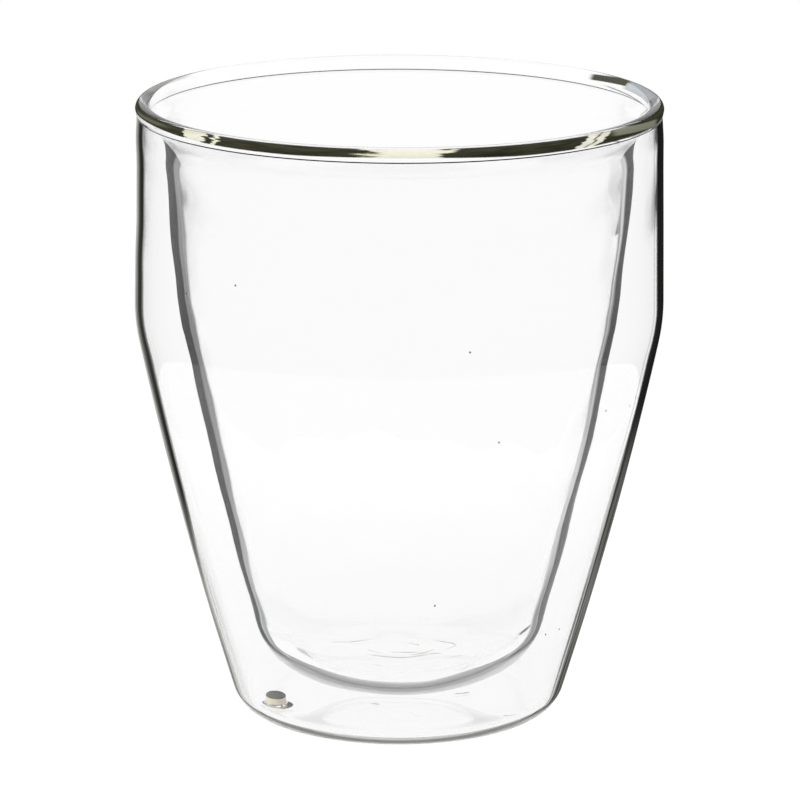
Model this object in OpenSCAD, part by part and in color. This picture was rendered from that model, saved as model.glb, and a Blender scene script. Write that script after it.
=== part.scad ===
// Double walled glass cup. An inner glass hangs in an outer glass, and the two are melted
// together at the rim. The air between them is sealed in by a soft plug in the base.
// The origin is the middle of the underside, +Z is up and all lengths are in millimetres.

/* [Outer glass] */
// Height of the cup from the table to the crest of the rim
cup_h = 102.6; // [92:0.2:116]
// Outside diameter of the collar just under the rim
collar_d = 86.0; // [80:0.2:92]
// Outside diameter at the knee, where the collar turns into the belly
knee_d = 86.9; // [82:0.1:94]
// Height of the knee above the table
knee_h = 66.6; // [58:0.2:74]
// Outside diameter at the table if the lower corner were sharp
base_d = 52.6; // [44:0.2:60]
// How far the belly bows out of a straight line
belly_bow = 0.95; // [0.3:0.05:2]
// Radius that softens the knee
knee_round = 30; // [12:1:40]
// Radius of the lower corner, outside
base_round = 5.5; // [3:0.1:8]
// Thickness of the outer wall
outer_wall = 1.6; // [1.2:0.1:2.2]
// Thickness of the base
base_wall = 1.6; // [1.2:0.1:2.2]

/* [Inner glass] */
// Air gap between the two glasses at the shoulder under the rim
shoulder_gap = 2.7; // [2:0.1:4.5]
// Air gap between the two glasses at the knee
knee_gap = 5.2; // [3.5:0.1:7]
// How much higher the inner glass's knee lies than the outer one's
knee_rise = 4.4; // [0:0.1:8]
// Air gap between the sharp lower corners, measured sideways
foot_gap = 3.3; // [2.2:0.1:5]
// Air gap between the two bottoms
bottom_gap = 4.15; // [2.8:0.05:6]
// Radius of the inner glass's lower corner, on the side of the air gap
bowl_round = 14; // [10:0.5:16]
// Thickness of the inner wall
inner_wall = 1.6; // [1.2:0.1:2.2]
// Thickness of the inner glass's floor
floor_wall = 3.0; // [2:0.1:5]

/* [Rim] */
// Height of the solid bead in which the two glasses are melted together
rim_h = 2.4; // [1.8:0.1:3.4]
// Height of the flare with which the inner glass rises from its shoulder to the bead
flare_h = 3.6; // [2.6:0.1:6]
// Radius that softens the shoulder
shoulder_round = 5; // [2:0.5:6]
// Wall of either glass where it runs into the bead
seam_wall = 0.85; // [0.6:0.05:1.1]
// Width of the air gap's narrow top, between the two seams
seam_gap = 0.3; // [0.2:0.05:0.6]
// How far the bead stands out over the neck on each side
bead_overhang = 0.25; // [0.1:0.05:0.4]

/* [Vent and plug] */
// Distance of the vent's centre from the outer glass's lower corner
vent_inset = 5.4; // [5.3:0.1:12]
// Direction of the vent, seen from above, from +X towards +Y
vent_angle = 195; // [0:1:359]
// Diameter of the hole through the base
vent_d = 3.4; // [2.6:0.1:4]
// Diameter of the collar of glass that stands up round the hole, at its foot
lip_foot_d = 7.6; // [5.8:0.1:8]
// Diameter of that collar at its top
lip_top_d = 4.8; // [4.6:0.1:5.4]
// Height of that collar above the base's upper face
lip_h = 0.8; // [0.4:0.1:1]
// Diameter of the plug's head
plug_head_d = 4.4; // [4.2:0.1:5]
// Height of the straight side of the plug's head
plug_head_h = 0.8; // [0.5:0.1:1]
// Height of the dome on the plug's head
plug_dome_h = 0.4; // [0.2:0.1:0.6]
// Gap between the plug's stem and the hole, all round
plug_clearance = 0.05; // [0.02:0.01:0.1]
// How far the stem's lower end stays above the table
plug_recess = 0.3; // [0.1:0.05:0.6]

/* [Hidden] */

// Faces round the axis, and steps in a rounded corner and in the belly's bow
around = 180;
corner_steps = 10;
bow_steps = 8;
dome_steps = 8;
// Overrun of a cut past the face that it leaves through
overrun = 1;

glass_tint = [0.90, 0.92, 0.90, 0.35];
bead_tint = [0.62, 0.64, 0.52, 0.6];
plug_tint = [0.80, 0.76, 0.66];

collar_r = collar_d / 2;
knee_r = knee_d / 2;
base_r = base_d / 2;
seam_z = cup_h - rim_h;
shoulder_z = seam_z - flare_h;

// Radii of the seams at the bead's flat underside, from outside to inside
neck_r = collar_r - bead_overhang;
outer_seam_r = neck_r - seam_wall;
inner_seam_r = outer_seam_r - seam_gap;
mouth_r = inner_seam_r - seam_wall;

// Corners of the inner glass, on the side of the air gap
bowl_shoulder_r = collar_r - outer_wall - shoulder_gap;
bowl_knee = [knee_r - outer_wall - knee_gap, knee_h + knee_rise];
bowl_foot = [base_r - outer_wall - foot_gap, base_wall + bottom_gap];
floor_z = bowl_foot.y + floor_wall;

vent_r = base_r - vent_inset;
vent_x = vent_r * cos(vent_angle);
vent_y = vent_r * sin(vent_angle);
lip_z = base_wall + lip_h;
plug_stem_d = vent_d - 2 * plug_clearance;

function unit(v) = v / norm(v);
function left_of(v) = [-v.y, v.x];

// Where the line through a along u meets the line through b along v
function meeting(a, u, b, v) = a + u * cross(b - a, v) / cross(u, v);

// Corners of a chain pushed to its left by w on every stretch
function pushed(chain, w) = [
    for (i = [0 : len(chain) - 1])
        let (
            before = unit(chain[max(i, 1)] - chain[max(i, 1) - 1]),
            after = unit(chain[min(i + 1, len(chain) - 1)] - chain[min(i, len(chain) - 2)]),
            side = unit(left_of(before) + left_of(after))
        )
        chain[i] + side * w / (side * left_of(after))
];

// Points of an arc that rounds the corner b between a and c
function rounded(a, b, c, radius) =
    let (
        to_a = unit(a - b),
        to_c = unit(c - b),
        half = acos(to_a * to_c) / 2,
        centre = b + unit(to_a + to_c) * radius / sin(half),
        start = b + to_a * radius / tan(half) - centre,
        turn = (180 - 2 * half) * sign(cross(to_a, to_c)) * -1
    )
    [
        for (i = [0 : corner_steps])
            let (angle = turn * i / corner_steps)
            centre + [
                start.x * cos(angle) - start.y * sin(angle),
                start.x * sin(angle) + start.y * cos(angle)
            ]
    ];

// Points between a and b on the shallow arc that bows to the left of the way from a to b
function bowed(a, b, bow) =
    let (
        half_chord = norm(b - a) / 2,
        radius = (half_chord * half_chord + bow * bow) / (2 * bow),
        centre = (a + b) / 2 - left_of(unit(b - a)) * (radius - bow),
        half_turn = asin(half_chord / radius)
    )
    [
        for (i = [1 : bow_steps - 1])
            let (angle = half_turn * (1 - 2 * i / bow_steps))
            centre + radius * (left_of(unit(b - a)) * cos(angle) - unit(b - a) * sin(angle))
    ];

// Chain down the side of a glass: its top, its knee, the bow of its belly and its sharp foot
function glass_side(top, knee, foot) = concat([top, knee], bowed(knee, foot, belly_bow), [foot]);

// A side with its knee and its foot rounded, closed towards the axis by its flat bottom.
// Points of the bow that lie within the reach of the foot's rounding are left out.
function soft_side(side, knee_radius, foot_radius) =
    let (
        last = len(side) - 1,
        foot = rounded(side[last - 1], side[last], [0, side[last].y], foot_radius),
        reach = norm(foot[0] - side[last])
    )
    concat(
        rounded(side[0], side[1], side[2], knee_radius),
        [for (i = [2 : last - 1]) if (norm(side[i] - side[last]) > reach) side[i]],
        foot,
        [[0, side[last].y]]
    );

// The same side pushed in by a wall, with its foot moved along to a floor at height z
function wall_side(side, wall, z) =
    let (
        inner = pushed(side, -wall),
        last = len(inner) - 1,
        slope = unit(inner[last] - inner[last - 1])
    )
    concat(
        [for (i = [0 : last - 1]) inner[i]],
        [meeting(inner[last], slope, [0, z], [1, 0])]
    );

// Outlines from the top down to the axis, for the two faces of each glass
outer_side = glass_side([collar_r, shoulder_z], [knee_r, knee_h], [base_r, 0]);
bowl_side = glass_side([bowl_shoulder_r, shoulder_z], bowl_knee, bowl_foot);
gap_side = wall_side(outer_side, outer_wall, base_wall);
well_side = wall_side(bowl_side, inner_wall, floor_z);

outer_face = soft_side(outer_side, knee_round, base_round);
gap_face = soft_side(gap_side, knee_round - outer_wall, base_round - outer_wall);
bowl_face = soft_side(bowl_side, knee_round, bowl_round);
well_face = soft_side(well_side, knee_round - inner_wall, bowl_round - inner_wall);

// Solid of revolution between an outer outline and an inner one, both from the top down
module turned_wall(outside, inside) {
    rotate_extrude($fn = around)
        polygon(concat(outside, [for (i = [len(inside) - 1 : -1 : 0]) inside[i]]));
}

// The collar of glass round the vent, kept inside the air gap
module vent_lip() {
    intersection() {
        translate([vent_x, vent_y, 0])
            cylinder(h = lip_z, d1 = lip_foot_d, d2 = lip_top_d, $fn = around);
        rotate_extrude($fn = around)
            polygon(concat(outer_face, [[0, shoulder_z]]));
    }
}

module outer_shell() {
    color(glass_tint)
        difference() {
            union() {
                turned_wall(
                    concat([[neck_r, seam_z], [collar_r, shoulder_z]], outer_face),
                    concat([[outer_seam_r, seam_z], gap_side[0]], gap_face)
                );
                vent_lip();
            }
            translate([vent_x, vent_y, -overrun])
                cylinder(h = lip_z + 2 * overrun, d = vent_d, $fn = around);
        }
}

module inner_bowl() {
    color(glass_tint)
        turned_wall(
            concat(
                [[inner_seam_r, seam_z]],
                rounded([inner_seam_r, seam_z], bowl_side[0], bowl_side[1], shoulder_round),
                bowl_face
            ),
            concat(
                [[mouth_r, seam_z]],
                rounded([mouth_r, seam_z], well_side[0], well_side[1], shoulder_round),
                well_face
            )
        );
}

// The bead: tapered sides that rise from the seams, and a half round crest
module rim_bead() {
    bead_r = (neck_r - mouth_r) / 2 + bead_overhang;
    middle = [(neck_r + mouth_r) / 2, cup_h - bead_r];
    color(bead_tint)
        rotate_extrude($fn = around)
            polygon(concat(
                [[mouth_r, seam_z], [neck_r, seam_z]],
                [
                    for (i = [0 : 2 * corner_steps])
                        let (angle = 180 * i / (2 * corner_steps))
                        middle + bead_r * [cos(angle), sin(angle)]
                ]
            ));
}

// The plug: a stem in the hole and a domed head that rests on the glass collar
module vent_plug() {
    head_r = plug_head_d / 2;
    dome_z = lip_z + plug_head_h;
    color(plug_tint)
        translate([vent_x, vent_y, 0])
            rotate_extrude($fn = around)
                polygon(concat(
                    [
                        [0, plug_recess],
                        [plug_stem_d / 2, plug_recess],
                        [plug_stem_d / 2, lip_z],
                        [head_r, lip_z]
                    ],
                    [
                        for (i = [0 : dome_steps])
                            let (angle = 90 * i / dome_steps)
                            [head_r * cos(angle), dome_z + plug_dome_h * sin(angle)]
                    ]
                ));
}

outer_shell();
inner_bowl();
rim_bead();
vent_plug();
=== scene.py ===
# %% [markdown]
# A double walled glass cup, dressed for its portrait. The cup is two blown glasses, one inside
# the other, melted together at a solid rim, with a soft plug in the base that shuts off the air
# between them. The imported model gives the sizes. This lesson turns the same outlines again as
# fine meshes, gives each surface its own glass, and lights the cup against plain white.

import math
import random

import bpy
import bmesh
import numpy as np
from mathutils import Matrix, Vector


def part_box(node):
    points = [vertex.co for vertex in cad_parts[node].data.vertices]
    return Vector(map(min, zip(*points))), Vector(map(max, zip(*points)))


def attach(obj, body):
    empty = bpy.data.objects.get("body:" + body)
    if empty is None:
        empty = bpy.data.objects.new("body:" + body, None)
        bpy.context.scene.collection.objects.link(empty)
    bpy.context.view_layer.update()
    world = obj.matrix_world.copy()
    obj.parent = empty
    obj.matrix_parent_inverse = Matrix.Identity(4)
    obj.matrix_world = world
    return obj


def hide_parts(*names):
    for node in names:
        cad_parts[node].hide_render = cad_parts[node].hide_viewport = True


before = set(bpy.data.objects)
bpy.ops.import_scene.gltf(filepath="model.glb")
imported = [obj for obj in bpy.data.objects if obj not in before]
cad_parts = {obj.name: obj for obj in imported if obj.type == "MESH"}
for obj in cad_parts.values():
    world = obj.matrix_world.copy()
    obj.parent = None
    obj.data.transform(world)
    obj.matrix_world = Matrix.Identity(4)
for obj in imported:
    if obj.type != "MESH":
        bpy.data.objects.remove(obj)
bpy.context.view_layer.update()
print("nodes in the frame:", sorted(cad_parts))

# %% [markdown]
# The heights of the seams, the radius of the collar and the place of the plug are read from the
# frame, so the pieces follow it. Walls and roundings can't be read from a box, so they are named
# here in real sizes, the same ones that the solids were drawn with.

# %% Sizes read from the frame
MM = 0.001

shell_low, shell_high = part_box("outer_shell")
bowl_low, bowl_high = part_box("inner_bowl")
rim_low, rim_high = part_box("rim_bead")
plug_low, plug_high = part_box("vent_plug")

crest_z = rim_high.z
seam_z = rim_low.z
collar_r = rim_high.x
bowl_underside_z = bowl_low.z
plug_x = (plug_low.x + plug_high.x) / 2
plug_y = (plug_low.y + plug_high.y) / 2
print(f"crest {crest_z:.4f} m, seam {seam_z:.4f} m, collar radius {collar_r:.4f} m")

# %% Walls and roundings of the two glasses
flare_h = 3.6 * MM
shoulder_z = seam_z - flare_h
shoulder_round = 5 * MM
neck_round = 6 * MM

knee_r = 43.45 * MM
knee_z = 66.6 * MM
knee_round = 30 * MM
belly_bow = 0.95 * MM
base_r = 26.3 * MM
base_round = 5.5 * MM
wall = 1.6 * MM

shoulder_gap = 2.7 * MM
knee_gap = 5.2 * MM
knee_rise = 4.4 * MM
foot_gap = 3.3 * MM
bowl_round = 14 * MM
floor_wall = 3.0 * MM

bead_overhang = 0.25 * MM
seam_wall = 0.85 * MM
seam_gap = 0.3 * MM

neck_r = collar_r - bead_overhang
outer_seam_r = neck_r - seam_wall
inner_seam_r = outer_seam_r - seam_gap
mouth_r = inner_seam_r - seam_wall
floor_z = bowl_underside_z + floor_wall

# %% [markdown]
# Each glass is drawn once as a side view and then spun. A side is a chain of corners: top, knee
# and foot. Arcs soften the corners, and the belly bows out on a shallow arc. Pushing the chain in
# by the wall gives the other face of the same glass. The points are then spread evenly, because
# even rings shade better than long thin ones.

# %% Helpers that draw a side
def left_of(v):
    return Vector((-v.y, v.x))


def meeting(a, u, b, v):
    """Where the line through a along u meets the line through b along v."""
    gap = b - a
    return a + u * (gap.x * v.y - gap.y * v.x) / (u.x * v.y - u.y * v.x)


def pushed(chain, distance):
    """The chain's corners, moved to their left by the distance on every stretch."""
    moved = []
    for i, corner in enumerate(chain):
        before = (chain[max(i, 1)] - chain[max(i, 1) - 1]).normalized()
        after_start = min(i, len(chain) - 2)
        after = (chain[after_start + 1] - chain[after_start]).normalized()
        side = (left_of(before) + left_of(after)).normalized()
        moved.append(corner + side * distance / side.dot(left_of(after)))
    return moved


def rounded(before, corner, after, radius, steps=24):
    """Points of the arc that rounds a corner."""
    to_before = (before - corner).normalized()
    to_after = (after - corner).normalized()
    half = to_before.angle(to_after) / 2
    centre = corner + (to_before + to_after).normalized() * radius / math.sin(half)
    start = corner + to_before * radius / math.tan(half) - centre
    way = -1 if to_before.x * to_after.y - to_before.y * to_after.x > 0 else 1
    turn = (math.pi - 2 * half) * way
    points = []
    for i in range(steps + 1):
        angle = turn * i / steps
        points.append(centre + Vector((
            start.x * math.cos(angle) - start.y * math.sin(angle),
            start.x * math.sin(angle) + start.y * math.cos(angle),
        )))
    return points


def bowed(start, end, bow, steps=16):
    """Points between start and end on the shallow arc that bows to the left of that way."""
    along = (end - start).normalized()
    half_chord = (end - start).length / 2
    radius = (half_chord ** 2 + bow ** 2) / (2 * bow)
    centre = (start + end) / 2 - left_of(along) * (radius - bow)
    half_turn = math.asin(half_chord / radius)
    points = []
    for i in range(1, steps):
        angle = half_turn * (1 - 2 * i / steps)
        points.append(centre + (left_of(along) * math.cos(angle) - along * math.sin(angle)) * radius)
    return points


# %% A whole side of a glass
def glass_side(top, knee, foot):
    return [top, knee] + bowed(knee, foot, belly_bow) + [foot]


def soft_side(side, knee_radius, foot_radius):
    """A side with its knee and foot rounded, closed towards the axis by its flat bottom."""
    centre = Vector((0, side[-1].y))
    foot = rounded(side[-2], side[-1], centre, foot_radius)
    reach = (foot[0] - side[-1]).length
    belly = [p for p in side[2:-1] if (p - side[-1]).length > reach]
    return rounded(side[0], side[1], side[2], knee_radius) + belly + foot + [centre]


def wall_side(side, thickness, z):
    """The side pushed in by a wall, with its foot moved along to a floor at height z."""
    inner = pushed(side, -thickness)
    slope = (inner[-1] - inner[-2]).normalized()
    return inner[:-1] + [meeting(inner[-1], slope, Vector((0, z)), Vector((1, 0)))]


def spread(points, step):
    """The same line with its points spread evenly, about a step apart."""
    marks = np.array([p[:] for p in points])
    run = np.concatenate([[0], np.cumsum(np.linalg.norm(np.diff(marks, axis=0), axis=1))])
    count = max(2, int(round(run[-1] / step)) + 1)
    places = np.linspace(0, run[-1], count)
    return np.column_stack([np.interp(places, run, marks[:, 0]), np.interp(places, run, marks[:, 1])])


# %% The four faces, drawn from the top down to the axis
outer_side = glass_side(
    Vector((collar_r, shoulder_z)), Vector((knee_r, knee_z)), Vector((base_r, 0))
)
bowl_side = glass_side(
    Vector((collar_r - wall - shoulder_gap, shoulder_z)),
    Vector((knee_r - wall - knee_gap, knee_z + knee_rise)),
    Vector((base_r - wall - foot_gap, bowl_underside_z)),
)
gap_side = wall_side(outer_side, wall, wall)
well_side = wall_side(bowl_side, wall, floor_z)


def on_line(a, b, z):
    """The point at height z on the line through a and b."""
    return a + (b - a) * (z - a.y) / (b.y - a.y)


def fade(value, start, end):
    """0 at start, 1 at end and smooth between."""
    share = np.clip((value - start) / (end - start), 0, 1)
    return share * share * (3 - 2 * share)


def thinning(side, start, end_z, steps=24):
    """From start down to the line of a side at height end_z, on a soft curve without a kink."""
    off = start.x - on_line(side[0], side[1], start.y).x
    points = []
    for i in range(1, steps + 1):
        share = i / steps
        height = start.y + (end_z - start.y) * share
        points.append(on_line(side[0], side[1], height) + Vector((off * (1 - fade(share, 0, 1)), 0)))
    return points


# Towards the seams both walls thin out slowly, so that their two faces stay almost parallel
SHELL_THINNING = 27 * MM
BOWL_THINNING = 16 * MM
full_shell_z = shoulder_z - SHELL_THINNING
full_bowl_z = shoulder_z - BOWL_THINNING

gap_neck = [Vector((outer_seam_r, seam_z))]
gap_neck += thinning(gap_side, gap_neck[0], full_shell_z)
well_neck = rounded(
    Vector((mouth_r, seam_z)),
    bowl_side[0] - Vector((seam_wall, 0)),
    on_line(bowl_side[0], bowl_side[1], full_bowl_z) - Vector((seam_wall, 0)),
    shoulder_round + seam_wall,
)
well_neck += thinning(well_side, well_neck[-1], full_bowl_z)

SIDE_STEP = 1.0 * MM


def face_from_seam(seam_r, side, top_round, foot_round):
    """From the seam over the rounded top corner and down the soft side to the axis."""
    start = Vector((seam_r, seam_z))
    top = [start] + rounded(start, side[0], side[1], top_round)
    return spread(top + soft_side(side, knee_round, foot_round), SIDE_STEP)


outer_face = face_from_seam(neck_r, outer_side, neck_round, base_round)
gap_face = spread(gap_neck + soft_side(gap_side, knee_round - wall, base_round - wall), SIDE_STEP)
bowl_face = face_from_seam(inner_seam_r, bowl_side, shoulder_round, bowl_round)
well_points = [Vector((mouth_r, seam_z))] + well_neck
well_points += soft_side(well_side, knee_round - wall, bowl_round - wall)
# The drinking floor, drawn by the last few points, has finer rings for the swirl in it
FLOOR_STEP = 0.3 * MM
FLOOR_POINTS = 8
floor_start = len(well_points) - FLOOR_POINTS
well_face = np.vstack([
    spread(well_points[: floor_start + 1], SIDE_STEP)[:-1],
    spread(well_points[floor_start:], FLOOR_STEP),
])
print("rings on the four faces:", len(outer_face), len(gap_face), len(bowl_face), len(well_face))

# %% [markdown]
# Blown glass is never quite even: slow waves in its walls make its dark edges swell and thin as
# they run down. The waves here are sums of a few sines with seeded phases. They only take glass
# away, so the cup keeps its size, and they fade out at the seams and the base.

# %% Waves of blown glass
def waves(angle, height, seed, turns, rises):
    """A smooth pattern from about -1 to 1 round and up a glass."""
    draw = random.Random(seed)
    total = np.zeros_like(angle)
    for turn in turns:
        for rise in rises:
            phase = draw.uniform(0, 2 * math.pi)
            way = draw.choice((-1, 1))
            total += np.sin(turn * angle + way * 2 * math.pi * height / rise + phase)
    return total / math.sqrt(len(turns) * len(rises) * 2)


def below_seam(height):
    """0 next to the seams, 1 lower down and smooth between."""
    return fade(seam_z - height, 1 * MM, 9 * MM)


def on_left(angle):
    """1 at the left of the cup, 0 at the right and smooth between."""
    return (1 - np.cos(angle)) / 2


# Higher waves than this are cut off
WAVE_LIMIT = 1.6


def blown(angle, height, seed, depth, turns, rises):
    """How far the waves cut into a face, with nothing cut near the seam and the base."""
    kept = fade(height, 3 * MM, 12 * MM) * below_seam(height)
    level = np.clip(waves(angle, height, seed, turns, rises), -WAVE_LIMIT, WAVE_LIMIT) / WAVE_LIMIT
    return depth * (1 + level) / 2 * kept


# %% [markdown]
# A lathe makes every piece. It takes strips, each a line of points with the material of the faces
# along it, spins them into rings and joins the rings by faces. The strips close into one loop, so
# the mesh is watertight, which glass needs: light is bent where it enters and where it leaves.

# %% The lathe
# A smaller radius than this counts as on the axis
AXIS_R = 1e-7
SHARP_ANGLE = math.radians(35)


def turned(name, strips, segments, bend=None):
    """A closed mesh of revolution. Each strip is (points, material). A strip that doesn't end on the
    axis ends where the next one starts. Bend moves the points of each ring."""
    angles = np.arange(segments) * 2 * math.pi / segments
    mesh = bpy.data.meshes.new(name)
    rings, slots, materials, vertices = [], [], [], []
    for strip, (points, material) in enumerate(strips):
        if material not in materials:
            materials.append(material)
        ends_on_axis = points[-1][0] < AXIS_R
        for radius, height in points if ends_on_axis else points[:-1]:
            around = angles[:1] if radius < AXIS_R else angles
            r = np.full(len(around), radius)
            z = np.full(len(around), height)
            if bend is not None and radius >= AXIS_R:
                r, z = bend(strip, around, r, z)
            rings.append((len(vertices), len(around)))
            vertices.extend(np.column_stack([r * np.cos(around), r * np.sin(around), z]).tolist())
            slots.append(materials.index(material))
    faces, face_slots = [], []
    for i, (first, count) in enumerate(rings):
        after, after_count = rings[(i + 1) % len(rings)]
        if count == 1 and after_count == 1:
            continue
        for k in range(segments):
            k2 = (k + 1) % segments
            if count == 1:
                faces.append((first, after + k2, after + k))
            elif after_count == 1:
                faces.append((first + k, first + k2, after))
            else:
                faces.append((first + k, first + k2, after + k2, after + k))
            face_slots.append(slots[i])
    mesh.from_pydata(vertices, [], faces)
    mesh.polygons.foreach_set("material_index", face_slots)
    for material in materials:
        mesh.materials.append(material)
    work = bmesh.new()
    work.from_mesh(mesh)
    bmesh.ops.recalc_face_normals(work, faces=work.faces)
    work.to_mesh(mesh)
    work.free()
    mesh.shade_smooth()
    mesh.set_sharp_from_angle(angle=SHARP_ANGLE)
    piece = bpy.data.objects.new(name, mesh)
    bpy.context.scene.collection.objects.link(piece)
    return piece


# %% [markdown]
# Against white, clear glass is drawn by its edges: where a wall is seen edge on, it looks nearly
# black, because there it bends and mirrors the dark room round the cup. A Layer Weight node knows
# how edge on a face is, from any side, so it can place that dark line. The group turns its answer
# into painted shade in the bands that real glass shows there: a fringe at the very edge, a dark
# core, a paler inner band and a soft halo.

# %% Helpers for groups and nodes
def grey(value):
    return (value, value, value, 1)


NUMBER = "NodeSocketFloat"
COLOUR = "NodeSocketColor"


def new_group(name, inputs, outputs):
    """A shader node group with inputs {name: default} and outputs {name: kind}."""
    group = bpy.data.node_groups.new(name, "ShaderNodeTree")
    for label, default in inputs.items():
        kind = COLOUR if isinstance(default, tuple) else NUMBER
        group.interface.new_socket(label, in_out="INPUT", socket_type=kind).default_value = default
    for label, kind in outputs.items():
        group.interface.new_socket(label, in_out="OUTPUT", socket_type=kind)
    return group, group.nodes.new("NodeGroupInput").outputs


def put_out(group, **values):
    """Links the values to the group's outputs of the same names and returns the group."""
    outputs = group.nodes.new("NodeGroupOutput").inputs
    for label, value in values.items():
        group.links.new(value, outputs[label])
    return group


def feed(tree, sockets, values):
    """Gives each socket its value, which is another socket to link from or a plain value."""
    for socket, value in zip(sockets, values):
        if isinstance(value, bpy.types.NodeSocket):
            tree.links.new(value, socket)
        else:
            socket.default_value = value


def add_node(tree, kind, traits=None, **settings):
    """A shader node with its traits set and its inputs fed. An underscore in an input's name stands
    for a space."""
    node = tree.nodes.new("ShaderNode" + kind)
    for trait, value in (traits or {}).items():
        setattr(node, trait, value)
    feed(tree, [node.inputs[label.replace("_", " ")] for label in settings], settings.values())
    return node


def add_group(tree, group, **settings):
    return add_node(tree, "Group", {"node_tree": group}, **settings).outputs


# %% Helpers for numbers, colours and places
def calc(tree, operation, *values):
    """A Math node's result."""
    node = add_node(tree, "Math", {"operation": operation})
    feed(tree, node.inputs, values)
    return node.outputs[0]


def times(tree, a, b):
    return calc(tree, "MULTIPLY", a, b)


def minus(tree, a, b):
    return calc(tree, "SUBTRACT", a, b)


def most(tree, a, b):
    return calc(tree, "MAXIMUM", a, b)


def ramp(tree, value, start, end, low=0.0, high=1.0):
    """A smooth step from low, where the value is at start, to high at end."""
    node = add_node(tree, "MapRange", {"interpolation_type": "SMOOTHSTEP"})
    feed(tree, node.inputs, (value, start, end, low, high))
    return node.outputs["Result"]


def blend(tree, share, first, second):
    """A number between first, at share 0, and second, at share 1."""
    node = add_node(tree, "Mix")
    feed(tree, (node.inputs[0], node.inputs[2], node.inputs[3]), (share, first, second))
    return node.outputs[0]


def blend_colour(tree, share, first, second, blend_type="MIX"):
    node = add_node(tree, "Mix", {"data_type": "RGBA", "blend_type": blend_type})
    feed(tree, (node.inputs[0], node.inputs[6], node.inputs[7]), (share, first, second))
    return node.outputs[2]


def xyz(tree, vector):
    return add_node(tree, "SeparateXYZ", Vector=vector).outputs


def combined(tree, x, y, z):
    return add_node(tree, "CombineXYZ", X=x, Y=y, Z=z).outputs[0]


def spot(tree):
    """The point that is being shaded, in the object's own frame."""
    return add_node(tree, "TexCoord").outputs["Object"]


def noise(tree, place, scale=1.0, detail=2.0):
    """A soft noise in space, mostly between 0.3 and 0.7."""
    return add_node(tree, "TexNoise", Vector=place, Scale=scale, Detail=detail).outputs["Fac"]


# %% Helpers for soft masks
def until(tree, value, end, soft):
    """1 up to the end and 0 past it, with a soft edge."""
    return ramp(tree, value, end - soft / 2, end + soft / 2, 1.0, 0.0)


def between(tree, value, start, end, soft):
    """1 from start to end and 0 elsewhere, with soft edges."""
    rise = ramp(tree, value, start - soft / 2, start + soft / 2)
    return times(tree, rise, until(tree, value, end, soft))


def patch(tree, turn, run, turns, runs, soft=(3.0, 0.12), lean=0.0):
    """A patch between two turns in degrees and two runs in mm. Its run falls by lean mm per degree."""
    slide = times(tree, minus(tree, turn, sum(turns) / 2), lean)
    slid_run = calc(tree, "ADD", run, slide)
    return times(tree, between(tree, turn, *turns, soft[0]), between(tree, slid_run, *runs, soft[1]))


# %% The group that draws a glass edge
# Softness of the bands and place of the thin line beyond them, in reaches from the very edge
BAND_SOFT = 0.12
LINE_PLACE = (1.12, 1.19)
LINE_SOFT = 0.04
# How square on a face is where the painted halo of shade starts to fade and where it ends,
# and how fast
HALO_FADE = (0.12, 0.44)
HALO_POWER = 1.5
# How close together the streaks in the painted shade are, across the edge and along the height
STREAKS_ACROSS = 34.0
STREAKS_UP = 38.0


def edge_bands_group():
    """Paints the matt shade of a glass edge. All shades are grey values. Places are counted in
    reaches from the very edge.
    """
    inputs = {
        "Facing": 0.0, "Reach": 0.27, "Core Start": 0.35, "Core End": 0.7,
        "Fringe": 0.3, "Core": 0.02, "Inner": 0.3, "Fringe Amount": 1.0,
        "Halo": 0.0, "Line": 0.0, "Streaks": 0.0, "Tint": grey(1),
    }
    group, given = new_group("Glass Edge Bands", inputs, {"Colour": COLOUR, "Amount": NUMBER})
    square_on = minus(group, 1.0, given["Facing"])
    place = calc(group, "DIVIDE", square_on, given["Reach"])
    in_core = ramp(group, place, 0.0, given["Core Start"])
    past_core = ramp(group, place, given["Core End"], calc(group, "ADD", given["Core End"], BAND_SOFT))
    shade = blend(group, in_core, given["Fringe"], given["Core"])
    shade = blend(group, past_core, shade, given["Inner"])

    across = times(group, square_on, STREAKS_ACROSS)
    up = times(group, xyz(group, spot(group))["Z"], STREAKS_UP)
    streak = noise(group, combined(group, across, up, 0.0), detail=1.0)
    streak = ramp(group, streak, 0.3, 0.7, -1.0, 1.0)
    shade = times(group, shade, calc(group, "MULTIPLY_ADD", streak, given["Streaks"], 1.0))
    colour = blend_colour(group, 1.0, combined(group, shade, shade, shade), given["Tint"], "MULTIPLY")

    band = until(group, place, 1.0, BAND_SOFT)
    band = times(group, band, blend(group, in_core, given["Fringe Amount"], 1.0))
    line = times(group, between(group, place, *LINE_PLACE, LINE_SOFT), given["Line"])
    halo = ramp(group, square_on, *HALO_FADE, 1.0, 0.0)
    halo = times(group, calc(group, "POWER", halo, HALO_POWER), given["Halo"])
    return put_out(group, Colour=colour, Amount=most(group, most(group, band, line), halo))
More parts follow.
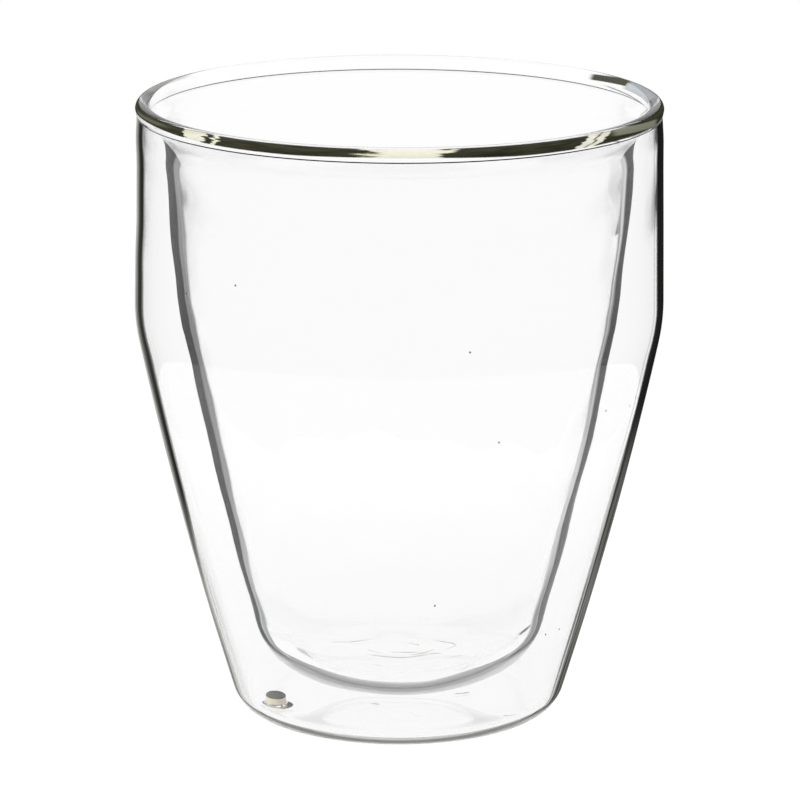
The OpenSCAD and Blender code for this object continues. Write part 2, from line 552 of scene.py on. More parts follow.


# %% [markdown]
# The bands aren't the same all round, as the light round the cup isn't. On the right they are
# nearly black up to the very edge, and on the left they have a pale fringe. Round the foot, where
# the glass turns under, they are broad and pale. A second group tells a material where on the cup
# it is, so that each setting of the painted shade can be blended between places.

# %% The groups for places and skin
def cup_places_group():
    """Right: 1 on the right. Low: 1 near the base. Foot: 1 where the glass turns under. Flat: 1 on flat
    bottoms. Side: 1 at the far left and right, 0 at the front and back. Height: in metres."""
    outputs = {label: NUMBER for label in ("Right", "Low", "Foot", "Flat", "Side", "Height")}
    group, _ = new_group("Cup Places", {}, outputs)
    texture = add_node(group, "TexCoord").outputs
    point = xyz(group, texture["Object"])
    turn = calc(group, "ARCTAN2", point["Y"], point["X"])
    right = ramp(group, point["X"], -20 * MM, 20 * MM)
    # The low part starts higher on the right than on the left
    low_start = blend(group, right, 42 * MM, 56 * MM)
    low_end = minus(group, low_start, 22 * MM)
    near_base = ramp(group, point["Z"], 50 * MM, 40 * MM)
    # 0 on upright faces and 1 on flat ones
    lying = calc(group, "ABSOLUTE", xyz(group, texture["Normal"])["Z"])
    return put_out(
        group,
        Right=right,
        Low=ramp(group, point["Z"], low_start, low_end),
        Foot=times(group, near_base, ramp(group, lying, 0.36, 0.62)),
        Flat=ramp(group, lying, 0.985, 0.998),
        Side=calc(group, "ABSOLUTE", calc(group, "COSINE", turn)),
        Height=point["Z"],
    )


def blown_skin_group():
    """Faint unevenness of blown glass: a normal and a roughness that change over the surface."""
    outputs = {"Normal": "NodeSocketVector", "Roughness": NUMBER}
    group, given = new_group("Blown Glass Skin", {"Scale": 60.0, "Depth": 0.02, "Haze": 0.02}, outputs)
    uneven = noise(group, spot(group), given["Scale"], 1.0)
    bump = add_node(group, "Bump", Height=uneven, Strength=given["Depth"], Distance=MM)
    haze = ramp(group, uneven, 0.45, 0.75, 0.0, given["Haze"])
    return put_out(group, Normal=bump.outputs["Normal"], Roughness=haze)


EDGE_BANDS = edge_bands_group()
CUP_PLACES = cup_places_group()
BLOWN_SKIN = blown_skin_group()
print("groups:", EDGE_BANDS.name, "and", CUP_PLACES.name, "and", BLOWN_SKIN.name)

# %% [markdown]
# Every glass face shares one recipe: a Principled glass, a matt shader that paints the shade of the
# edge bands, and a Transparent shader that only shadow rays meet, so that lamps shine through the
# cup. Each face gets its own numbers.

# %% The glass recipe
GLASS_IOR = 1.47
GLASS_GLEAM = 0.05
CLEAR = (0.996, 0.996, 0.996, 1)
SHADOW_TINT = grey(0.965)


def empty_material(name):
    material = bpy.data.materials.new(name)
    material.use_nodes = True
    material.node_tree.nodes.clear()
    return material, material.node_tree


def clear_shader(tree, ior=GLASS_IOR):
    skin = add_group(tree, BLOWN_SKIN)
    return add_node(
        tree, "BsdfPrincipled", Base_Color=CLEAR, Roughness=skin["Roughness"], Normal=skin["Normal"],
        IOR=ior, Specular_IOR_Level=GLASS_GLEAM, Transmission_Weight=1.0,
    ).outputs[0]


def mixed_shader(tree, share, first, second):
    node = add_node(tree, "MixShader")
    feed(tree, node.inputs, (share, first, second))
    return node.outputs[0]


def shade_over(tree, shader, amount, colour):
    """Lays a matt shade over a shader, as much of it as amount says."""
    matt = add_node(tree, "BsdfPrincipled", Base_Color=colour, Roughness=1.0, Specular_IOR_Level=0.0)
    return mixed_shader(tree, amount, shader, matt.outputs[0])


def finish_glass(tree, shader):
    """Lets lamps through and joins the shader to the output."""
    lets_lamps = add_node(tree, "BsdfTransparent", Color=SHADOW_TINT)
    is_shadow = add_node(tree, "LightPath").outputs["Is Shadow Ray"]
    last = mixed_shader(tree, is_shadow, shader, lets_lamps.outputs[0])
    add_node(tree, "OutputMaterial", Surface=last)


def placed(tree, places, setting):
    """A setting for all places, or one each for high left, high right, low left, low right and foot."""
    if not isinstance(setting, tuple):
        return setting
    high_left, high_right, low_left, low_right, foot = setting
    high = blend(tree, places["Right"], high_left, high_right)
    low = blend(tree, places["Right"], low_left, low_right)
    return blend(tree, places["Foot"], blend(tree, places["Low"], high, low), foot)


def from_outside(tree, amount):
    """The amount on faces met from the air, and none on faces met from within the glass."""
    backfacing = add_node(tree, "NewGeometry").outputs["Backfacing"]
    return times(tree, amount, minus(tree, 1.0, backfacing))


# Where on the cup, by its Side value, the front turns into the side
FRONT_TO_SIDE = (0.86, 0.97)
TOP_FADE = 0.4 * MM


def edged_glass(name, top, tint, front_top=None, **settings):
    """Glass with painted edge shade up to the height top at the sides, and front_top at the front
    and back.
    """
    material, tree = empty_material(name)
    places = add_group(tree, CUP_PLACES)
    facing = add_node(tree, "LayerWeight", Blend=0.5).outputs["Facing"]
    values = {label: placed(tree, places, setting) for label, setting in settings.items()}
    bands = add_group(tree, EDGE_BANDS, Facing=facing, Tint=tint, **values)
    if front_top is not None:
        top = blend(tree, ramp(tree, places["Side"], *FRONT_TO_SIDE), front_top, top)
    above = minus(tree, places["Height"], top)
    amount = times(tree, bands["Amount"], ramp(tree, above, 0.0, TOP_FADE, 1.0, 0.0))
    amount = times(tree, amount, minus(tree, 1.0, places["Flat"]))
    finish_glass(tree, shade_over(tree, clear_shader(tree), from_outside(tree, amount), bands["Colour"]))
    return material


def plain_glass(name):
    material, tree = empty_material(name)
    finish_glass(tree, clear_shader(tree))
    return material


# %% The glass faces
# Each face's settings draw its painted edge shade, tinted warm on the outer wall and cool on the bowl
# Five values are for high left, high right, low left, low right and foot
outside_glass = edged_glass(
    "outside_glass",
    top=crest_z,
    tint=(1.0, 0.99, 0.95, 1),
    Reach=(0.25, 0.222, 0.18, 0.28, 0.6),
    Core_Start=(0.76, 0.25, 0.6, 0.3, 0.64),
    Core_End=(0.84, 0.9, 0.8, 0.75, 0.7),
    Fringe=(0.7, 0.04, 0.7, 0.3, 0.7),
    Core=(0.025, 0.014, 0.26, 0.12, 0.26),
    Inner=(0.28, 0.1, 0.45, 0.33, 0.6),
    Fringe_Amount=(1.0, 1.0, 1.0, 1.0, 0.3),
    Halo=(0.15, 0.0, 0.8, 0.3, 0.2),
    Line=(0.0, 0.3, 0.0, 0.0, 0.0),
    Streaks=(0.3, 0.3, 0.5, 0.8, 0.3),
)
# On the bowl the painted shade stops below the flare, lower at the front and back than at the sides
bowl_glass = edged_glass(
    "bowl_glass",
    top=seam_z - 2.6 * MM,
    front_top=seam_z - 6.6 * MM,
    tint=(0.98, 0.98, 1.0, 1),
    Reach=(0.33, 0.29, 0.31, 0.32, 0.52),
    Core_Start=(0.06, 0.35, 0.5, 0.5, 0.95),
    Core_End=(0.7, 0.7, 0.66, 0.7, 0.74),
    Fringe=(0.1, 0.2, 0.4, 0.38, 0.8),
    Core=(0.005, 0.005, 0.02, 0.1, 0.28),
    Inner=(0.25, 0.5, 0.5, 0.5, 0.66),
    Fringe_Amount=(1.0, 1.0, 1.0, 1.0, 0.45),
    Halo=(0.15, 0.1, 0.3, 0.1, 0.1),
    Streaks=(0.2, 0.4, 0.3, 0.5, 0.2),
)
gap_glass = plain_glass("gap_glass")

# %% [markdown]
# The drinking floor keeps a swirl from the making of the hot glass: a broken ring about 25 mm
# across with short arcs inside it. The radius of a mark may grow or shrink along it. The bowl's
# mesh raises the marks, and the material paints shade on them for the dark lines that their
# bending of the light draws.

# %% The floor of the drinking side
# Marks of the swirl: (start turn, end turn, start radius, end radius, strength). Turns are in
# degrees from the front to the right and radii in mm.
SWIRL_MARKS = (
    (112, 146, 10.4, 11.9, 0.9), (70, 125, 9.0, 10.9, 0.3), (206, 245, 12.2, 12.4, 0.8),
    (-28, 42, 8.4, 8.7, 0.6), (37, 47, 8.7, 9.8, 0.9), (136, 170, 4.6, 7.3, 0.7),
    (-14, 4, 5.4, 5.3, 0.4), (1, 31, 5.3, 6.1, 0.8), (17, 41, 7.5, 7.5, 0.7),
    (30, 62, 6.9, 6.9, 0.35), (-60, -24, 5.7, 6.5, 0.25),
)
# A mark's half width and the softness of its edges, in mm
SWIRL_HALF_WIDTH = 0.22
SWIRL_SOFT = 0.4
# Colour of the shade painted on the marks
SWIRL_SHADE = (0.2, 0.19, 0.16, 1)


def floor_places_group():
    """Turn: degrees from the front to the right, from -90 to 270. Radius: mm from the axis."""
    group, _ = new_group("Floor Places", {}, {"Turn": NUMBER, "Radius": NUMBER})
    point = xyz(group, spot(group))
    turn = calc(group, "DEGREES", calc(group, "ARCTAN2", point["Y"], point["X"]))
    across = combined(group, point["X"], point["Y"], 0.0)
    length = add_node(group, "VectorMath", {"operation": "LENGTH"}, Vector=across)
    radius = calc(group, "DIVIDE", length.outputs["Value"], MM)
    return put_out(group, Turn=calc(group, "ADD", turn, 90.0), Radius=radius)


FLOOR_PLACES = floor_places_group()


def well_glass_material():
    """The drinking floor, clear but for painted shade on the marks of the swirl."""
    material, tree = empty_material("well_glass")
    places = add_group(tree, FLOOR_PLACES)
    amount = 0.0
    for start, end, start_r, end_r, strength in SWIRL_MARKS:
        middle = (start_r + end_r) / 2
        runs = (middle - SWIRL_HALF_WIDTH, middle + SWIRL_HALF_WIDTH)
        soft = ((end - start) / 2, SWIRL_SOFT)
        lean = (start_r - end_r) / (end - start)
        mark = patch(tree, places["Turn"], places["Radius"], (start, end), runs, soft, lean)
        amount = most(tree, amount, times(tree, mark, strength))
    finish_glass(tree, shade_over(tree, clear_shader(tree), from_outside(tree, amount), SWIRL_SHADE))
    return material


def weld_glass_material():
    """The faces where two pieces of glass are melted together. They neither bend nor reflect light."""
    material, tree = empty_material("weld_glass")
    glass = add_node(
        tree, "BsdfPrincipled", Base_Color=grey(1), Roughness=0.0, IOR=1.0, Transmission_Weight=1.0
    )
    finish_glass(tree, glass.outputs[0])
    return material


well_glass = well_glass_material()
weld = weld_glass_material()
print("glass materials:", [m.name for m in (outside_glass, bowl_glass, gap_glass, well_glass, weld)])


# %% The outer glass
SEGMENTS = 240
COLLAR_HOLLOW = 0.2 * MM


def bend_shell(strip, angle, r, z):
    """Waves on both faces, and a collar that is a little hollow on the left."""
    hollow = COLLAR_HOLLOW * on_left(angle) * fade(z, 76 * MM, 84 * MM) * below_seam(z)
    if strip == 0:
        return r - hollow - blown(angle, z, 11, 0.06 * MM, (3, 5, 8), (23 * MM, 41 * MM)), z
    return r - hollow - blown(angle, z, 12, 0.10 * MM, (4, 7, 11), (17 * MM, 29 * MM)), z


def two_faced(name, outside, inside, bend):
    """A blown glass from the line and the material of its two faces, with its weld at the seam."""
    (outer_line, outer_material), (inner_line, inner_material) = outside, inside
    seam = np.array([inner_line[0], outer_line[0]])
    strips = [(outer_line, outer_material), (inner_line[::-1], inner_material), (seam, weld)]
    return turned(name, strips, SEGMENTS, bend)


shell_faces = (outer_face, outside_glass), (gap_face, gap_glass)
outer_shell = two_faced("outer_shell_glass", *shell_faces, bend_shell)

# %% [markdown]
# The air between the glasses has to breathe while the cup is made, so the base has a round vent.
# Glass stands up round it in a small collar that spreads into the base. The collar is turned and
# united with the shell by a Boolean, and a second Boolean bores the hole with its rounded mouth.

# %% The vent and its collar
VENT_R = 1.7 * MM
VENT_EDGE = 0.35 * MM
LIP_TOP_Z = plug_low.z + 1.75 * MM
LIP_TOP_R = 2.15 * MM
LIP_EDGE = 0.15 * MM
LIP_FLARE = 1.3
# The collar starts inside the base, where its foot is widest
LIP_FOOT_R = 3.8 * MM
LIP_FOOT_Z = 1.3 * MM
LIP_BURIED_Z = 1.0 * MM

# The collar's glass gets painted edge shade, which darkens it on either side of the plug
vent_glass = edged_glass(
    "vent_glass", top=crest_z, tint=(1.0, 1.0, 0.86, 1), Reach=0.7, Core_Start=0.3, Core_End=0.7,
    Fringe=0.25, Core=0.1, Inner=0.3, Halo=0.2, Streaks=0.3,
)


def at_vent(piece):
    """Moves a piece that was turned about the cup's axis to the vent."""
    piece.data.transform(Matrix.Translation((plug_x, plug_y, 0)))
    return piece


# %% Outlines of the collar and the bore
def lip_outline(steps=12):
    """From the axis inside the base, up the collar's hollow flank, over its round top and back."""
    points = [Vector((0, LIP_BURIED_Z)), Vector((LIP_FOOT_R, LIP_BURIED_Z))]
    for i in range(steps + 1):
        share = i / steps
        flank_r = LIP_TOP_R + (LIP_FOOT_R - LIP_TOP_R) * (1 - share) ** LIP_FLARE
        points.append(Vector((flank_r, LIP_FOOT_Z + (LIP_TOP_Z - LIP_EDGE - LIP_FOOT_Z) * share)))
    points += rounded(points[-1], Vector((LIP_TOP_R, LIP_TOP_Z)), Vector((0, LIP_TOP_Z)), LIP_EDGE, 6)
    points.append(Vector((0, LIP_TOP_Z)))
    return spread(points, 0.1 * MM)


def bore_outline():
    """The bore's section: wide below the base, a rounded mouth, and straight up through the collar."""
    past = 1 * MM
    low = Vector((VENT_R, -0.01 * MM))
    mouth = rounded(Vector((VENT_R + past, low.y)), low, Vector((VENT_R, LIP_TOP_Z)), VENT_EDGE, 8)
    points = [Vector((0, -past)), Vector((mouth[0].x, -past))] + mouth
    points += [Vector((VENT_R, LIP_TOP_Z + past)), Vector((0, LIP_TOP_Z + past))]
    return [p[:] for p in points]


# %% The collar is united and the hole bored
def cut_or_unite(piece, tool, operation):
    """Applies an exact Boolean and removes the tool."""
    step = piece.modifiers.new(operation.lower(), "BOOLEAN")
    step.operation = operation
    step.object = tool
    step.solver = "EXACT"
    step.material_mode = "TRANSFER"
    ready = piece.evaluated_get(bpy.context.evaluated_depsgraph_get())
    mesh = bpy.data.meshes.new_from_object(ready)
    piece.modifiers.clear()
    piece.data = mesh
    bpy.data.objects.remove(tool)


VENT_SEGMENTS = 72
vent_lip = at_vent(turned("vent_lip", [(lip_outline(), vent_glass)], VENT_SEGMENTS))
cut_or_unite(outer_shell, vent_lip, "UNION")
vent_bore = at_vent(turned("vent_bore", [(bore_outline(), gap_glass)], VENT_SEGMENTS))
cut_or_unite(outer_shell, vent_bore, "DIFFERENCE")
print("outer shell with its vent:", len(outer_shell.data.polygons), "faces")

# %% [markdown]
# Hot glass traps a few tiny bubbles, called seeds. Each is a hollow inside the wall, so its faces
# are turned inwards: the glass lies round it and the air within.

# %% The seeds
# In the wall: (turn in degrees from the front to the right, height in mm)
WALL_SEEDS = (
    (15, 70), (23, 54.5), (71, 56), (66, 55.5), (54, 56.5),
    (-37, 79), (57, 18), (50, 18), (10, 26.5), (-52, 76),
)
# In the base, drawn out: (x, y, half length, turn of its length in degrees), in mm
BASE_SEEDS = (
    (-3.8, -4.4, 0.8, -8), (10.2, 1.5, 0.6, 8), (11.4, 1.9, 0.8, 30), (18.5, -12.2, 1.4, -12),
)
SEED_R = 0.15 * MM
SEED_RISE = 1.2
# Colour of the shade painted on the seeds
SEED_DARK = (0.05, 0.05, 0.04, 1)


def seed_material():
    """Painted dark shade, in place of the light that a bubble throws aside."""
    material, tree = empty_material("seed_glass")
    amount = ramp(tree, noise(tree, spot(tree), 3000.0), 0.3, 0.7, 0.6, 0.9)
    finish_glass(tree, shade_over(tree, clear_shader(tree), amount, SEED_DARK))
    return material


def seed_places():
    """Where each seed lies and how it is drawn out."""
    for turn, height in WALL_SEEDS:
        height = height * MM
        ring = int(np.argmin(np.abs(outer_face[:, 1] - height)))
        radius = outer_face[ring, 0] - wall / 2
        angle = math.radians(turn - 90)
        place = Vector((radius * math.cos(angle), radius * math.sin(angle), height))
        yield Matrix.Translation(place) @ Matrix.Diagonal((SEED_R, SEED_R, SEED_R * SEED_RISE, 1))
    for x, y, half_length, turn in BASE_SEEDS:
        place = Matrix.Translation((x * MM, y * MM, wall / 2))
        drawn_out = Matrix.Diagonal((half_length * MM, SEED_R, SEED_R, 1))
        yield place @ Matrix.Rotation(math.radians(turn), 4, "Z") @ drawn_out


def add_seeds(piece):
    piece.data.materials.append(seed_material())
    work = bmesh.new()
    work.from_mesh(piece.data)
    for place in seed_places():
        made = bmesh.ops.create_icosphere(work, subdivisions=2, radius=1.0, matrix=place)
        faces = list({face for vertex in made["verts"] for face in vertex.link_faces})
        for face in faces:
            face.material_index = len(piece.data.materials) - 1
            face.smooth = True
        bmesh.ops.reverse_faces(work, faces=faces)
    work.to_mesh(piece.data)
    work.free()


add_seeds(outer_shell)
print("seeds:", len(WALL_SEEDS) + len(BASE_SEEDS))

# %% The outer glass takes its place
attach(outer_shell, "root")
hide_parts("outer_shell")
print("outer shell:", len(outer_shell.data.polygons), "faces")

# %% [markdown]
# The bowl is turned like the shell. Below its knee it is a little flat on the left, and the marks
# of the swirl raise low ridges in its floor, so the light bends there too.

# %% The inner bowl
RIDGE_HEIGHT = 0.06 * MM
RIDGE_WIDTH = 0.45 * MM
BELLY_FLAT = 0.3 * MM
BOWL_WAVES = 0.16 * MM


def swirl(angle, radius):
    """Height of the ridges on the drinking floor along one ring of points."""
    turn = (np.degrees(angle) + 180) % 360 - 90
    height = np.zeros_like(angle)
    for start, end, start_r, end_r, strength in SWIRL_MARKS:
        along = (turn - start) / (end - start)
        off = radius - (start_r + (end_r - start_r) * along) * MM
        taper = fade(along, 0, 0.25) * fade(along, 1, 0.75)
        height = np.maximum(height, RIDGE_HEIGHT * strength * taper * np.exp(-((off / RIDGE_WIDTH) ** 2)))
    return height


def bend_bowl(strip, angle, r, z):
    """Waves on both faces, the flat on the left, and the swirl's ridges on the drinking floor."""
    flat = BELLY_FLAT * on_left(angle) * fade(z, 72 * MM, 46 * MM) * fade(z, 9 * MM, 18 * MM)
    turns, rises = (5, 9, 14), (13 * MM, 31 * MM)
    if strip == 0:
        return r + BOWL_WAVES / 2 - flat - blown(angle, z, 21, BOWL_WAVES, turns, rises), z
    lift = swirl(angle, r[0]) * fade(z, floor_z + 1.4 * MM, floor_z + 0.8 * MM)
    return r - flat + blown(angle, z, 22, 0.12 * MM, turns, rises), z + lift


inner_bowl = two_faced(
    "inner_bowl_glass", (bowl_face, bowl_glass), (well_face, well_glass), bend_bowl
)
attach(inner_bowl, "root")
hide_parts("inner_bowl")
print("inner bowl:", len(inner_bowl.data.polygons), "faces")

# %% The rim's outline
def rim_outline(steps=40):
    """The bead's section, from its outer seam over the crest to its inner seam."""
    bead_r = (neck_r - mouth_r) / 2 + bead_overhang
    middle = Vector(((neck_r + mouth_r) / 2, crest_z - bead_r))
    points = [Vector((neck_r, seam_z))]
    for i in range(steps + 1):
        angle = math.pi * i / steps
        points.append(middle + Vector((math.cos(angle), math.sin(angle))) * bead_r)
    points.append(Vector((mouth_r, seam_z)))
    return spread(points, 0.12 * MM)


rim_face = rim_outline()

# %% [markdown]
# The solid bead is the darkest part of the cup, because it bends light from the dark room round it
# into view. Its outer half carries one olive band of painted shade all round, which hangs lower on
# the right and is broken by pale gaps with jagged ends. The inner half is clear but for painted
# shade at the back: a dark crescent and a few grey stretches. A group gives the place on the rim:
# the turn in degrees from the front, to the right, and the depth below the crest.

# %% The group for places on the rim
def rim_places_group():
    """Turn: degrees from the front, positive to the right. Depth: mm below the crest. Ragged: a noise
    from -1 to 1 that is drawn out along the rim."""
    outputs = {"Turn": NUMBER, "Depth": NUMBER, "Ragged": NUMBER}
    group, _ = new_group("Rim Places", {}, outputs)
    point = xyz(group, spot(group))
    towards_front = times(group, point["Y"], -1.0)
    turn = calc(group, "DEGREES", calc(group, "ARCTAN2", point["X"], towards_front))
    depth = calc(group, "DIVIDE", minus(group, crest_z, point["Z"]), MM)
    run = combined(group, times(group, turn, 0.12), times(group, depth, 2.6), 0.0)
    ragged = ramp(group, noise(group, run), 0.3, 0.7, -1.0, 1.0)
    return put_out(group, Turn=turn, Depth=depth, Ragged=ragged)


RIM_PLACES = rim_places_group()


# %% The band on the outer half of the rim
# The painted shade of the band, a paler painted highlight in it, and the colour painted in its pale gaps
RIM_OLIVE = (0.036, 0.036, 0.022, 1)
RIM_PALE_OLIVE = (0.21, 0.21, 0.16, 1)
RIM_GAP_YELLOW = (0.62, 0.58, 0.3, 1)
# The bead bends light less than the walls do, or it would guide too much of it round the ring
RIM_IOR = 1.3

# The depths of the band in mm, and where its lower edge moves down or up: (start turn, end turn,
# change in mm). The changes add up to nothing, so that the band closes at the back.
RIM_UPPER = 0.18
RIM_LOWER = 1.2
RIM_LOWER_STEPS = ((-72, -38, 0.46), (-25, -8, -0.2), (4, 30, 0.45), (95, 170, -0.71))
# The pale gaps: (middle turn, half width, degrees of lean per mm, raggedness, softness)
RIM_GAPS = (
    (-49.3, 3.0, 0.5, 1.6, 0.8), (-42.7, 0.7, 1.0, 1.2, 0.8), (1.2, 7.6, 1.5, 3.0, 4.0),
    (43.7, 1.4, 3.4, 0.8, 0.8), (47.4, 1.5, 3.4, 0.9, 0.8),
)


def rim_glass_material():
    """The olive band of painted shade with its pale gaps, and a painted paler gleam on the left and
    on the right.
    """
    material, tree = empty_material("rim_glass")
    turn, depth, jags = add_group(tree, RIM_PLACES)
    lower = RIM_LOWER
    for start, end, change in RIM_LOWER_STEPS:
        lower = calc(tree, "ADD", lower, ramp(tree, turn, start, end, 0.0, change))
    below_top = ramp(tree, depth, RIM_UPPER - 0.06, RIM_UPPER + 0.06)
    above_end = ramp(tree, minus(tree, depth, lower), -0.06, 0.12, 1.0, 0.0)
    band = times(tree, below_top, above_end)

    gap = 0.0
    for middle, half, lean, ragged, soft in RIM_GAPS:
        slid = calc(tree, "MULTIPLY_ADD", minus(tree, depth, 1.0), lean, turn)
        place = calc(tree, "MULTIPLY_ADD", jags, ragged, slid)
        away = calc(tree, "ABSOLUTE", minus(tree, place, middle))
        gap = most(tree, gap, until(tree, away, half, soft))

    # Painted highlights: paler streaks along the band on the left and on the right
    left_gleam = patch(tree, turn, depth, (-80, -61), (0.55, 0.95), soft=(8.0, 0.3), lean=0.01)
    right_gleam = patch(tree, turn, depth, (52, 73), (0.45, 1.5), soft=(4.0, 0.2), lean=-0.045)
    gleam = most(tree, times(tree, left_gleam, 0.4), right_gleam)
    streaked = calc(tree, "MULTIPLY_ADD", jags, 0.3, 1.0)
    dark = blend_colour(tree, 1.0, RIM_OLIVE, combined(tree, streaked, streaked, streaked), "MULTIPLY")
    shade = blend_colour(tree, gleam, dark, RIM_PALE_OLIVE)
    shade = blend_colour(tree, gap, shade, RIM_GAP_YELLOW)
    amount = times(tree, band, blend(tree, gap, 1.0, 0.42))
    finish_glass(tree, shade_over(tree, clear_shader(tree, RIM_IOR), from_outside(tree, amount), shade))
    return material


# %% The inner half of the rim
# Colours of the painted shade on the inner half
CRESCENT_DARK = (0.07, 0.07, 0.05, 1)
STRETCH_BLUE = (0.36, 0.39, 0.42, 1)
LEFT_GREY = (0.4, 0.4, 0.37, 1)


def rim_inner_material():
    """Clear but for painted shade: a dark crescent, a blue grey stretch and a thin dark line on the
    right at the back, and a grey stretch on the left at the back."""
    material, tree = empty_material("rim_inner_glass")
    turn, depth, _ = add_group(tree, RIM_PLACES)
    crescent = patch(tree, turn, depth, (112.5, 128), (0.0, 0.95), soft=(2.5, 0.2), lean=-0.035)
    blue = patch(tree, turn, depth, (92, 113.5), (0.0, 1.2), soft=(4.0, 0.15))
    line = patch(tree, turn, depth, (101, 122), (1.85, 2.1), soft=(5.0, 0.16), lean=0.03)
    left = patch(tree, turn, depth, (-121, -99), (-0.1, 0.3), soft=(5.0, 0.15))
    shade = blend_colour(tree, left, STRETCH_BLUE, LEFT_GREY)
    amount = most(tree, times(tree, blue, 0.72), times(tree, left, 0.5))
    dark = most(tree, crescent, times(tree, line, 0.7))
    shade = blend_colour(tree, dark, shade, CRESCENT_DARK)
    amount = most(tree, amount, dark)
    finish_glass(tree, shade_over(tree, clear_shader(tree, RIM_IOR), from_outside(tree, amount), shade))
    return material


# %% The rim bead, turned
rim_outer_glass = rim_glass_material()
rim_inner_glass = rim_inner_material()
crest = int(np.argmax(rim_face[:, 1]))
rim_bead = turned(
    "rim_bead_glass",
    [
        (rim_face[: crest + 1], rim_outer_glass),
        (rim_face[crest:], rim_inner_glass),
        (np.array([rim_face[-1], rim_face[0]]), weld),
    ],
    2 * SEGMENTS,
)
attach(rim_bead, "root")
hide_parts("rim_bead")
print("rim bead:", len(rim_bead.data.polygons), "faces")

# %% [markdown]
# The plug is a cream silicone stopper, pressed into the vent and cut off, so its top is slanted and
# uneven. Its top carries painted shade, much darker than its side. The stem keeps clear of the
# hole by a hair, and the head swells a little over the collar.

# %% The plug's form
PLUG_STEM_R = 1.64 * MM
PLUG_HEAD_R = 1.7 * MM
PLUG_TOP_Z = plug_high.z - 0.3 * MM
PLUG_SLANT = 0.24 * MM
PLUG_UNEVEN = 0.03 * MM
PLUG_LOW_EDGE = 0.3 * MM
PLUG_CUT_EDGE = 0.08 * MM
PLUG_BEVEL = 0.05 * MM


def plug_outline():
    """From the middle of its lower end up the stem and the head to the middle of the cut top."""
    low_middle = Vector((0, plug_low.z))
    low_corner = Vector((PLUG_STEM_R, plug_low.z))
    neck = Vector((PLUG_STEM_R, LIP_TOP_Z + 0.02 * MM))
    cut_corner = Vector((PLUG_HEAD_R, PLUG_TOP_Z))
    cut_middle = Vector((0, PLUG_TOP_Z))
    lower_end = rounded(low_middle, low_corner, neck, PLUG_LOW_EDGE, 8)
    head = [neck, Vector((PLUG_HEAD_R - PLUG_BEVEL, neck.y + PLUG_BEVEL))]
    cut_edge = rounded(Vector((PLUG_HEAD_R, neck.y)), cut_corner, cut_middle, PLUG_CUT_EDGE, 5)
    return spread([low_middle] + lower_end + head + cut_edge + [cut_middle], 0.08 * MM)


def bend_plug(strip, angle, r, z):
    """Slants the cut top towards the viewer and to the right, and makes the head a little uneven."""
    in_head = fade(z, LIP_TOP_Z + 0.05 * MM, PLUG_TOP_Z)
    slant = PLUG_SLANT * (np.sin(angle) - 0.25 * np.cos(angle)) * r / PLUG_HEAD_R
    uneven = PLUG_UNEVEN * waves(angle, r, 31, (2, 3, 5), (1.3 * MM, 2.1 * MM))
    dents = PLUG_UNEVEN * in_head * (1 + np.sin(3 * angle + 1)) / 2
    return r - dents, z + in_head * (slant + uneven)


# %% The plug's silicone
CREAM = ((0.74, 0.66, 0.47, 1), (0.86, 0.8, 0.62, 1))
# The painted shade of the cut top, with a grain
TOP_PAINTED_SHADE = ((0.012, 0.012, 0.004, 1), (0.045, 0.042, 0.02, 1))


def plug_material():
    """Clouded cream on the side, painted dark shade with a grain on the cut top, and a fine grain
    all over.
    """
    material, tree = empty_material("plug_silicone")
    texture = add_node(tree, "TexCoord").outputs
    grain = noise(tree, texture["Object"], 1400.0, 3.0)
    cloud = noise(tree, texture["Object"], 500.0, 1.0)
    # Upward faces get the painted shade in place of the cream
    painted_top_mask = ramp(tree, xyz(tree, texture["Normal"])["Z"], 0.55, 0.8)
    cream = blend_colour(tree, ramp(tree, cloud, 0.35, 0.65), *CREAM)
    cut = blend_colour(tree, ramp(tree, grain, 0.35, 0.65), *TOP_PAINTED_SHADE)
    bump = add_node(tree, "Bump", Height=grain, Strength=0.25, Distance=0.05 * MM)
    shader = add_node(
        tree,
        "BsdfPrincipled",
        Base_Color=blend_colour(tree, painted_top_mask, cream, cut),
        Roughness=ramp(tree, grain, 0.3, 0.7, 0.42, 0.6),
        Normal=bump.outputs["Normal"],
    )
    add_node(tree, "OutputMaterial", Surface=shader.outputs[0])
    return material


plug = at_vent(turned("silicone_plug", [(plug_outline(), plug_material())], VENT_SEGMENTS, bend_plug))
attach(plug, "root")
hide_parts("vent_plug")
plug_top = max(vertex.co.z for vertex in plug.data.vertices)
print("plug:", len(plug.data.polygons), "faces, top at", round(plug_top / MM, 2), "mm")

# %% [markdown]
# The stage is a pale disc under a plain world. The camera sees both as white, straight or through
# glass. Scattered rays meet a plain grey world, so the light on the cup stays modest. Mirrored rays
# meet white where they go up and grey where they go down, so mirror images of the white don't wash
# out the dark edges. And the disc keeps the cup's soft shadow.

# %% The stage
FLOOR_R = 175 * MM
FLOOR_Z = -0.02 * MM
PLAIN_WORLD = 0.5
MIRRORED_LOW = 0.4


def white_for_lookers(tree, rays):
    """1 for rays that come straight from the camera or through glass, and 0 for all others."""
    return most(tree, rays["Is Camera Ray"], rays["Is Transmission Ray"])


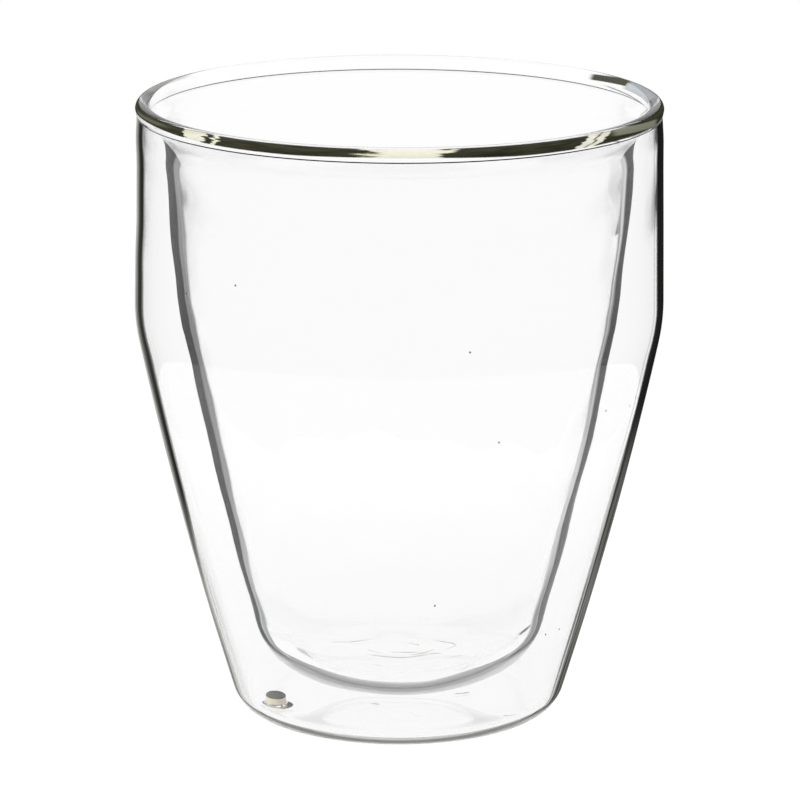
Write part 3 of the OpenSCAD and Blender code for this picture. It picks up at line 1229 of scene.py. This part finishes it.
def pale_floor():
    """White to look at, a little greyer through glass at the front, and plain to every other ray."""
    material, tree = empty_material("pale_floor")
    rays = add_node(tree, "LightPath").outputs
    plain = add_node(tree, "BsdfDiffuse", Color=grey(0.8))
    lit = add_node(tree, "BsdfDiffuse", Color=grey(0.12))
    towards_back = ramp(tree, xyz(tree, spot(tree))["Y"], 60 * MM, 170 * MM, 0.82, 0.9)
    glow_level = blend(tree, rays["Is Transmission Ray"], 0.9, towards_back)
    glow = add_node(tree, "Emission", Color=grey(1), Strength=glow_level)
    shown = add_node(tree, "AddShader")
    feed(tree, shown.inputs, (lit.outputs[0], glow.outputs[0]))
    surface = mixed_shader(tree, white_for_lookers(tree, rays), plain.outputs[0], shown.outputs[0])
    add_node(tree, "OutputMaterial", Surface=surface)
    return material


bpy.ops.mesh.primitive_circle_add(
    vertices=128, radius=FLOOR_R, fill_type="NGON", location=(0, 0, FLOOR_Z)
)
pale_disc = bpy.context.object
pale_disc.name = "pale_disc"
pale_disc.data.materials.append(pale_floor())

# %% The world and the lamps
def plain_world():
    world = bpy.data.worlds.new("plain_world")
    bpy.context.scene.world = world
    world.use_nodes = True
    tree = world.node_tree
    tree.nodes.clear()
    rays = add_node(tree, "LightPath").outputs
    way = xyz(tree, add_node(tree, "TexCoord").outputs["Generated"])
    mirrored = ramp(tree, way["Z"], 0.0, 0.15, MIRRORED_LOW, 1.0)
    plain = blend(tree, rays["Is Glossy Ray"], PLAIN_WORLD, mirrored)
    level = blend(tree, white_for_lookers(tree, rays), plain, 1.0)
    sky = add_node(tree, "Background", Color=grey(1), Strength=level)
    add_node(tree, "OutputWorld", Surface=sky.outputs[0])


def soft_lamp(name, place, size, power):
    """A square soft lamp that looks at the middle of the cup."""
    data = bpy.data.lights.new(name, "AREA")
    data.size = size
    data.energy = power
    lamp = bpy.data.objects.new(name, data)
    lamp.location = place
    aim = Vector((0, 0, crest_z / 2)) - Vector(place)
    lamp.rotation_euler = aim.to_track_quat("-Z", "Y").to_euler()
    lamp.visible_glossy = False
    lamp.visible_transmission = False
    bpy.context.scene.collection.objects.link(lamp)


plain_world()
soft_lamp("key_lamp", (-0.5, -0.35, 0.8), 0.5, 8.0)
soft_lamp("fill_lamp", (0.7, -0.2, 0.5), 0.5, 3.0)

# %% The camera
CAMERA_DISTANCE = 0.8
CAMERA_RISE = 0.1461
CAMERA_PITCH = math.radians(13.803)
CAMERA_ROLL = 0.0026
FOCAL_PIXELS = 4991.2
FRAME_PIXELS = 800
SIDE_PIXELS = 1.1
SENSOR = 36.0

camera_data = bpy.data.cameras.new("cup_camera")
camera_data.sensor_width = SENSOR
camera_data.lens = FOCAL_PIXELS / FRAME_PIXELS * SENSOR
camera_data.shift_x = SIDE_PIXELS / FRAME_PIXELS
camera = bpy.data.objects.new("cup_camera", camera_data)
camera.location = (0, -CAMERA_DISTANCE, crest_z + CAMERA_RISE)
look = Matrix.Rotation(math.pi / 2 - CAMERA_PITCH, 3, "X") @ Matrix.Rotation(CAMERA_ROLL, 3, "Z")
camera.rotation_euler = look.to_euler()
bpy.context.scene.collection.objects.link(camera)
bpy.context.scene.camera = camera
bpy.context.scene.view_settings.view_transform = "Standard"

# %% [markdown]
# Light is thrown to and fro many times inside the thick floor and the rim before it gets out.
# With too few bounces those parts would wrongly turn grey.

# %% Bounces for glass
GLASS_BOUNCES = 64

cycles = bpy.context.scene.cycles
cycles.max_bounces = GLASS_BOUNCES
cycles.glossy_bounces = GLASS_BOUNCES
cycles.transmission_bounces = GLASS_BOUNCES
